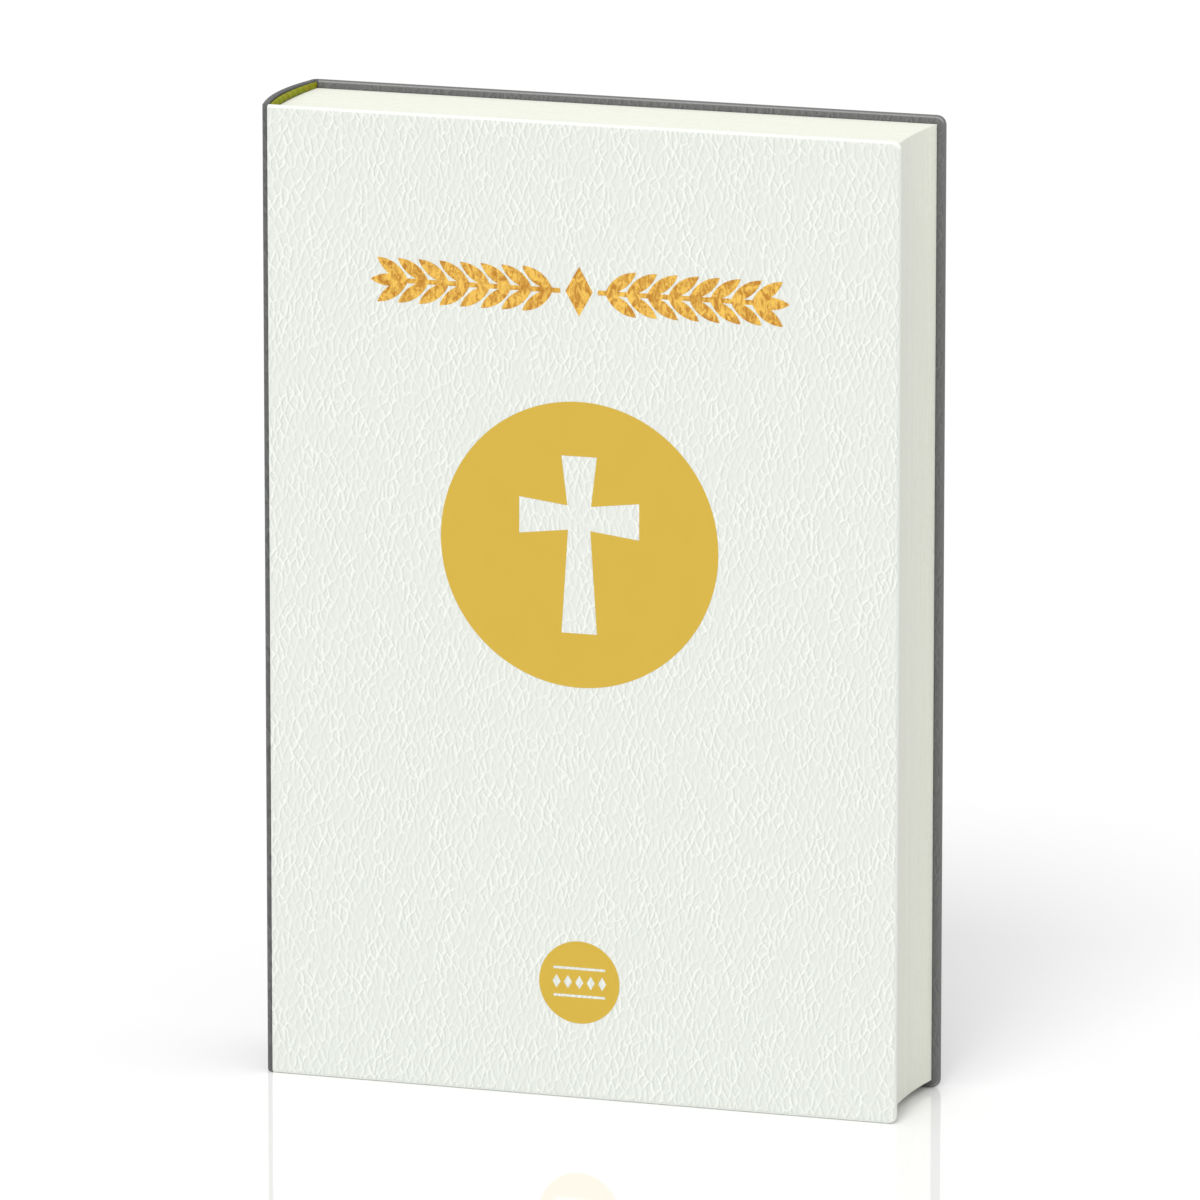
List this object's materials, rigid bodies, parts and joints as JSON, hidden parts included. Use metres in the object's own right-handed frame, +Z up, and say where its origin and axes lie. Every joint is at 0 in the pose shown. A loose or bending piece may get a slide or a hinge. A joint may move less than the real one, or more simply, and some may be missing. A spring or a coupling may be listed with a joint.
{
  "type": "bible",
  "caption": "Closed bound bible with a grained white front cover, grey spine and back, stamped gold artwork, sewn page sections and covers that open on hinges.",
  "frame": {"origin": "bottom centre of the closed book's bounding box, on the tail edge it stands on", "axes": "+Z up from tail to head, +X from the spine to the fore-edge, -Y out of the front cover"},
  "size_m": [0.1238, 0.029, 0.182],
  "materials": {
    "white_leather": "satin",
    "grey_leather": "satin",
    "page_paper": "matte",
    "endpaper": "matte",
    "board_card": "matte",
    "mull_cloth": "matte",
    "kraft_paper": "matte",
    "linen_thread": "matte",
    "headband_silk": "satin",
    "flat_gold_foil": "matte",
    "bright_gold_foil": "satin"
  },
  "bodies": {
    "text_block": {"section_09": "page_paper", "section_10": "page_paper", "section_11": "page_paper", "section_12": "page_paper", "sewing_threads": "linen_thread", "spine_mull": "mull_cloth", "spine_lining": "kraft_paper", "hollow_tube": "kraft_paper", "headband": "headband_silk", "tailband": "headband_silk", "spine_inlay": "board_card", "spine_covering": "grey_leather"},
    "front_cover": {"front_board": "board_card", "front_cover_covering": "white_leather", "front_joint_strip": "grey_leather", "front_mull_flange": "mull_cloth", "front_pastedown": "endpaper", "title_garland_foil": "bright_gold_foil", "emblem_foil": "flat_gold_foil", "imprint_foil": "flat_gold_foil"},
    "back_cover": {"back_board": "board_card", "back_cover_covering": "grey_leather", "back_joint_strip": "grey_leather", "back_mull_flange": "mull_cloth", "back_pastedown": "endpaper"},
    "front_flyleaf_turning": {"front_flyleaf": "endpaper"},
    "back_flyleaf_turning": {"back_flyleaf": "endpaper"},
    "section_01_turning": {"section_01": "page_paper"},
    "section_02_turning": {"section_02": "page_paper"},
    "section_03_turning": {"section_03": "page_paper"},
    "section_04_turning": {"section_04": "page_paper"},
    "section_05_turning": {"section_05": "page_paper"},
    "section_06_turning": {"section_06": "page_paper"},
    "section_07_turning": {"section_07": "page_paper"},
    "section_08_turning": {"section_08": "page_paper"},
    "section_20_turning": {"section_20": "page_paper"},
    "section_19_turning": {"section_19": "page_paper"},
    "section_18_turning": {"section_18": "page_paper"},
    "section_17_turning": {"section_17": "page_paper"},
    "section_16_turning": {"section_16": "page_paper"},
    "section_15_turning": {"section_15": "page_paper"},
    "section_14_turning": {"section_14": "page_paper"},
    "section_13_turning": {"section_13": "page_paper"}
  },
  "joints": [
    {"name": "front_cover_hinge", "type": "hinge", "parent": "text_block", "child": "front_cover", "pos_m": [-0.05905, -0.0145, 0.091], "axis": [0, 0, -1], "range_deg": [0, 175]},
    {"name": "back_cover_hinge", "type": "hinge", "parent": "text_block", "child": "back_cover", "pos_m": [-0.05905, 0.0145, 0.091], "axis": [0, 0, 1], "range_deg": [0, 175]},
    {"name": "front_flyleaf_turn", "type": "hinge", "parent": "text_block", "child": "front_flyleaf_turning", "pos_m": [-0.05905, -0.0145, 0.091], "axis": [0, 0, -1], "range_deg": [0, 151]},
    {"name": "back_flyleaf_turn", "type": "hinge", "parent": "text_block", "child": "back_flyleaf_turning", "pos_m": [-0.05905, 0.0145, 0.091], "axis": [0, 0, 1], "range_deg": [0, 151]},
    {"name": "section_01_turn", "type": "hinge", "parent": "text_block", "child": "section_01_turning", "pos_m": [-0.0591, -0.0143, 0.091], "axis": [0, 0, -1], "range_deg": [0, 96]},
    {"name": "section_02_turn", "type": "hinge", "parent": "text_block", "child": "section_02_turning", "pos_m": [-0.05925, -0.01303, 0.091], "axis": [0, 0, -1], "range_deg": [0, 55]},
    {"name": "section_03_turn", "type": "hinge", "parent": "text_block", "child": "section_03_turning", "pos_m": [-0.05938, -0.01175, 0.091], "axis": [0, 0, -1], "range_deg": [0, 32]},
    {"name": "section_04_turn", "type": "hinge", "parent": "text_block", "child": "section_04_turning", "pos_m": [-0.05949, -0.01048, 0.091], "axis": [0, 0, -1], "range_deg": [0, 20]},
    {"name": "section_05_turn", "type": "hinge", "parent": "text_block", "child": "section_05_turning", "pos_m": [-0.05958, -0.0092, 0.091], "axis": [0, 0, -1], "range_deg": [0, 13]},
    {"name": "section_06_turn", "type": "hinge", "parent": "text_block", "child": "section_06_turning", "pos_m": [-0.05966, -0.00793, 0.091], "axis": [0, 0, -1], "range_deg": [0, 9]},
    {"name": "section_07_turn", "type": "hinge", "parent": "text_block", "child": "section_07_turning", "pos_m": [-0.05972, -0.00666, 0.091], "axis": [0, 0, -1], "range_deg": [0, 6]},
    {"name": "section_08_turn", "type": "hinge", "parent": "text_block", "child": "section_08_turning", "pos_m": [-0.05976, -0.00538, 0.091], "axis": [0, 0, -1], "range_deg": [0, 3.5]},
    {"name": "section_20_turn", "type": "hinge", "parent": "text_block", "child": "section_20_turning", "pos_m": [-0.0591, 0.0143, 0.091], "axis": [0, 0, 1], "range_deg": [0, 96]},
    {"name": "section_19_turn", "type": "hinge", "parent": "text_block", "child": "section_19_turning", "pos_m": [-0.05925, 0.01303, 0.091], "axis": [0, 0, 1], "range_deg": [0, 55]},
    {"name": "section_18_turn", "type": "hinge", "parent": "text_block", "child": "section_18_turning", "pos_m": [-0.05938, 0.01175, 0.091], "axis": [0, 0, 1], "range_deg": [0, 32]},
    {"name": "section_17_turn", "type": "hinge", "parent": "text_block", "child": "section_17_turning", "pos_m": [-0.05949, 0.01048, 0.091], "axis": [0, 0, 1], "range_deg": [0, 20]},
    {"name": "section_16_turn", "type": "hinge", "parent": "text_block", "child": "section_16_turning", "pos_m": [-0.05958, 0.0092, 0.091], "axis": [0, 0, 1], "range_deg": [0, 13]},
    {"name": "section_15_turn", "type": "hinge", "parent": "text_block", "child": "section_15_turning", "pos_m": [-0.05966, 0.00793, 0.091], "axis": [0, 0, 1], "range_deg": [0, 9]},
    {"name": "section_14_turn", "type": "hinge", "parent": "text_block", "child": "section_14_turning", "pos_m": [-0.05972, 0.00666, 0.091], "axis": [0, 0, 1], "range_deg": [0, 6]},
    {"name": "section_13_turn", "type": "hinge", "parent": "text_block", "child": "section_13_turning", "pos_m": [-0.05976, 0.00538, 0.091], "axis": [0, 0, 1], "range_deg": [0, 3.5]}
  ],
  "couplings": [
    {"joint": "front_flyleaf_turn", "follows": "front_cover_hinge", "ratio": 0.85714},
    {"joint": "back_flyleaf_turn", "follows": "back_cover_hinge", "ratio": 0.85714},
    {"joint": "section_01_turn", "follows": "front_cover_hinge", "ratio": 0.54286},
    {"joint": "section_02_turn", "follows": "front_cover_hinge", "ratio": 0.30857},
    {"joint": "section_03_turn", "follows": "front_cover_hinge", "ratio": 0.17714},
    {"joint": "section_04_turn", "follows": "front_cover_hinge", "ratio": 0.10857},
    {"joint": "section_05_turn", "follows": "front_cover_hinge", "ratio": 0.06857},
    {"joint": "section_06_turn", "follows": "front_cover_hinge", "ratio": 0.04571},
    {"joint": "section_07_turn", "follows": "front_cover_hinge", "ratio": 0.02857},
    {"joint": "section_08_turn", "follows": "front_cover_hinge", "ratio": 0.01429},
    {"joint": "section_20_turn", "follows": "back_cover_hinge", "ratio": 0.54286},
    {"joint": "section_19_turn", "follows": "back_cover_hinge", "ratio": 0.30857},
    {"joint": "section_18_turn", "follows": "back_cover_hinge", "ratio": 0.17714},
    {"joint": "section_17_turn", "follows": "back_cover_hinge", "ratio": 0.10857},
    {"joint": "section_16_turn", "follows": "back_cover_hinge", "ratio": 0.06857},
    {"joint": "section_15_turn", "follows": "back_cover_hinge", "ratio": 0.04571},
    {"joint": "section_14_turn", "follows": "back_cover_hinge", "ratio": 0.02857},
    {"joint": "section_13_turn", "follows": "back_cover_hinge", "ratio": 0.01429}
  ]
}
